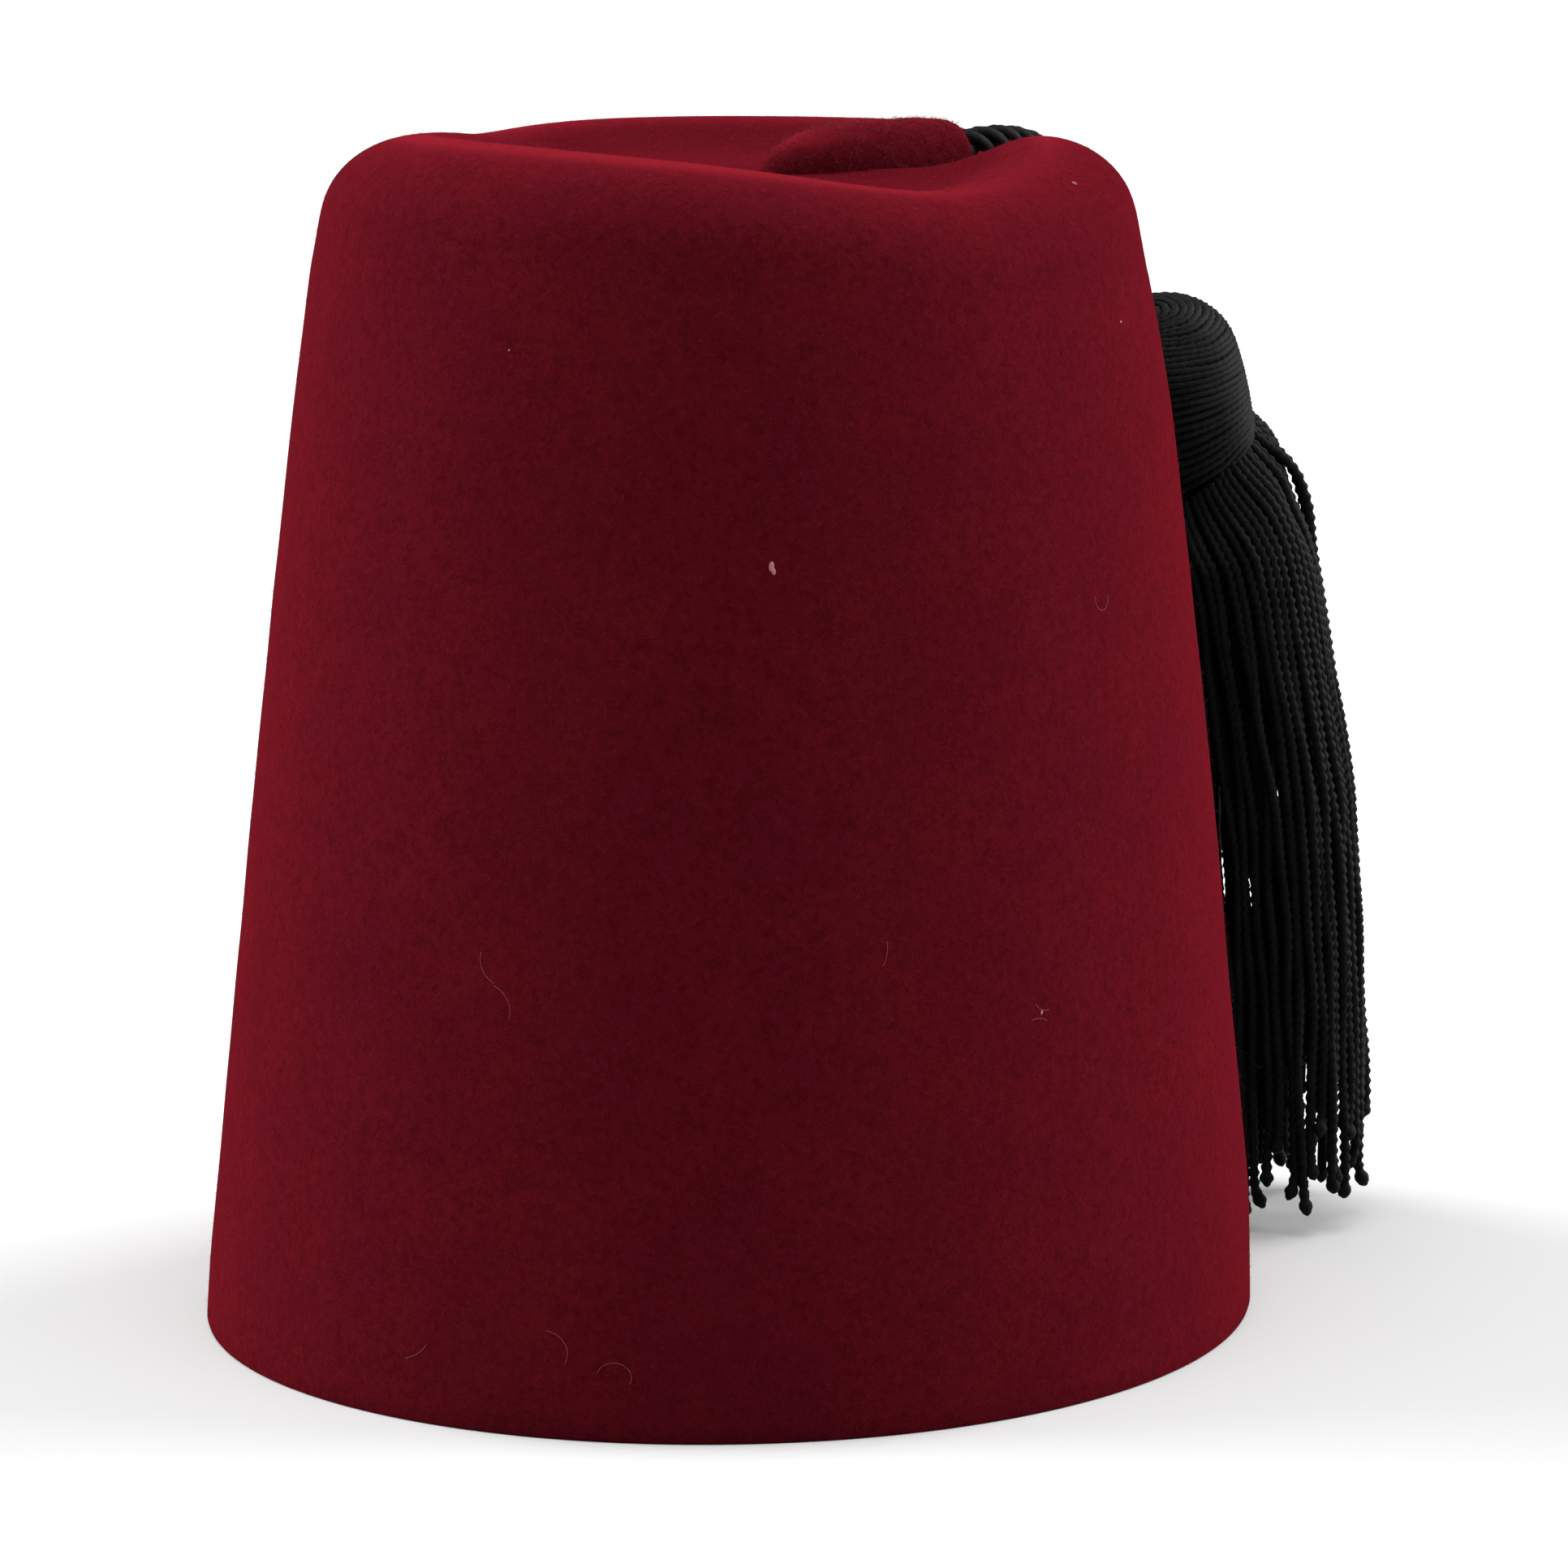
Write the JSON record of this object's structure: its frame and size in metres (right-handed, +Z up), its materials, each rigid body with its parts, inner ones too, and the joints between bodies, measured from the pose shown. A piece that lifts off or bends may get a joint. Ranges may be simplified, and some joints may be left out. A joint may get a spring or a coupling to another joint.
{
  "type": "fez hat",
  "caption": "Tall dark red felt fez with a dished crown, and a black cord tassel hanging beside the wall from a fold in the crown.",
  "frame": {"origin": "middle of the rim's outline, on the plane that the rim rests on", "axes": "+Z up through the crown, -Y the front, Y along the longer way of the oval rim, +X the wearer's left"},
  "size_m": [0.1813, 0.2043, 0.1969],
  "materials": {
    "felt_red": "matte wool felt with a short nap",
    "tassel_black": "twisted cord with a slight sheen"
  },
  "bodies": {
    "root": {"felt_body": "felt_red", "tassel_cord": "tassel_black", "tassel_head": "tassel_black", "tassel_skirt": "tassel_black"}
  },
  "joints": []
}
